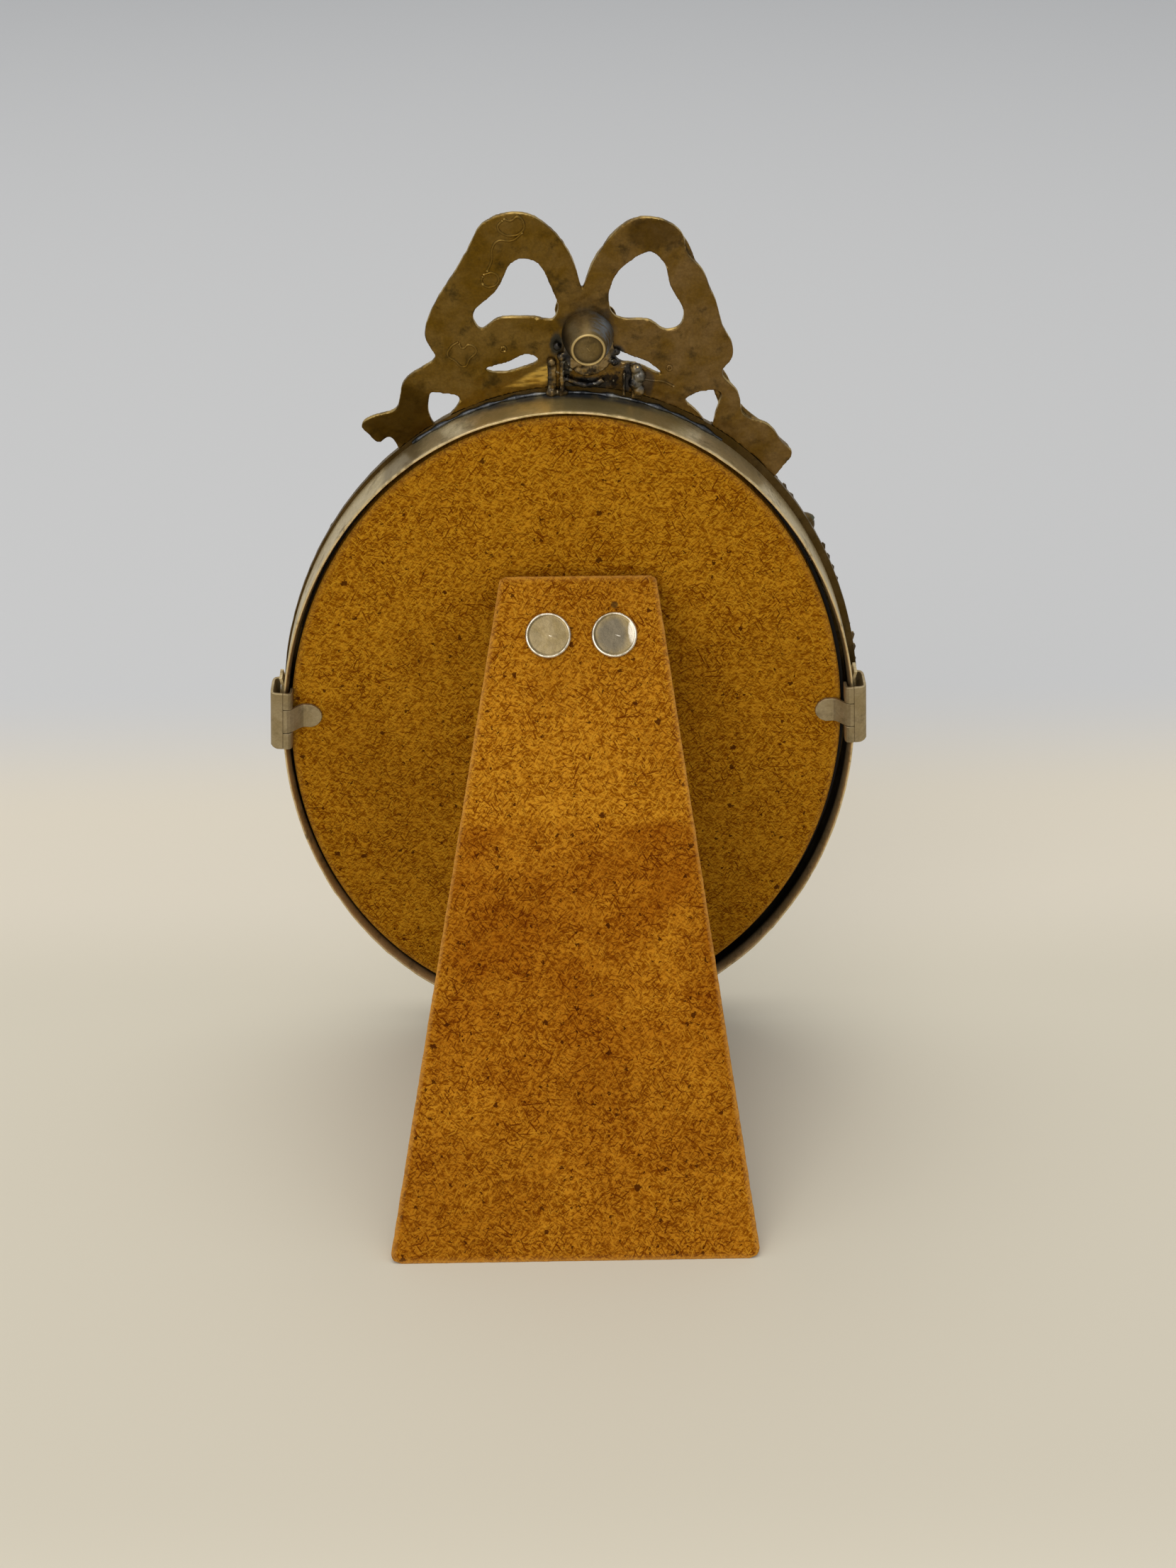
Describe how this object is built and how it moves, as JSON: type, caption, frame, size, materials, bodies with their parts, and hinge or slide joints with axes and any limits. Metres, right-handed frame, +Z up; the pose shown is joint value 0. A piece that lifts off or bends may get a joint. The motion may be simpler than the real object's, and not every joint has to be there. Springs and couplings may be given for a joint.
{
  "type": "oval picture frame",
  "caption": "Small oval brass picture frame with a ribbon bow on top, a hardboard back held by steel clips, and a hinged easel leg that folds flat.",
  "frame": {"origin": "on the floor, in the middle of the part's footprint", "axes": "+Z is up, the front of the frame faces -Y, and the easel leg stands behind it towards +Y"},
  "size_m": [0.1044, 0.0842, 0.1591],
  "materials": {
    "aged_brass": "dark olive-brown patina, bright on the edges",
    "band_brass": "dull, smudged sheet brass",
    "clear_glass": "clear",
    "bare_card": "plain cream card",
    "hardboard": "brown hardboard with short fibres",
    "leg_hardboard": "brown hardboard with short fibres, paler at its cut edges",
    "hinge_steel": "plated sheet steel",
    "rivet_steel": "plated, with hammer marks",
    "clip_steel": "dull nickel-plated spring steel"
  },
  "bodies": {
    "frame": {"front_rim": "aged_brass", "rear_band": "band_brass", "bow_crest": "aged_brass", "crest_knot": "aged_brass", "crest_stud": "band_brass", "crest_bracket": "aged_brass", "glass_pane": "clear_glass", "picture_card": "bare_card", "back_panel": "hardboard", "hinge_fixed_leaf": "hinge_steel", "hinge_pin": "hinge_steel", "panel_rivets": "rivet_steel", "left_clip_keeper": "band_brass", "right_clip_keeper": "band_brass"},
    "leg": {"easel_leg": "leg_hardboard", "hinge_moving_leaf": "hinge_steel", "leg_rivets": "rivet_steel"},
    "left_clip_body": {"left_clip": "clip_steel"},
    "right_clip_body": {"right_clip": "clip_steel"}
  },
  "joints": [
    {"name": "leg_fold", "type": "hinge", "parent": "frame", "child": "leg", "pos_m": [-0.002, -0.0153, 0.09159], "axis": [-1, 0, 0], "range_deg": [0, 40.7]},
    {"name": "left_clip_pull", "type": "slide", "parent": "frame", "child": "left_clip_body", "axis": [0, 0.9816, -0.1908], "range_m": [0, 0.006]},
    {"name": "right_clip_pull", "type": "slide", "parent": "frame", "child": "right_clip_body", "axis": [0, 0.9816, -0.1908], "range_m": [0, 0.006]}
  ]
}
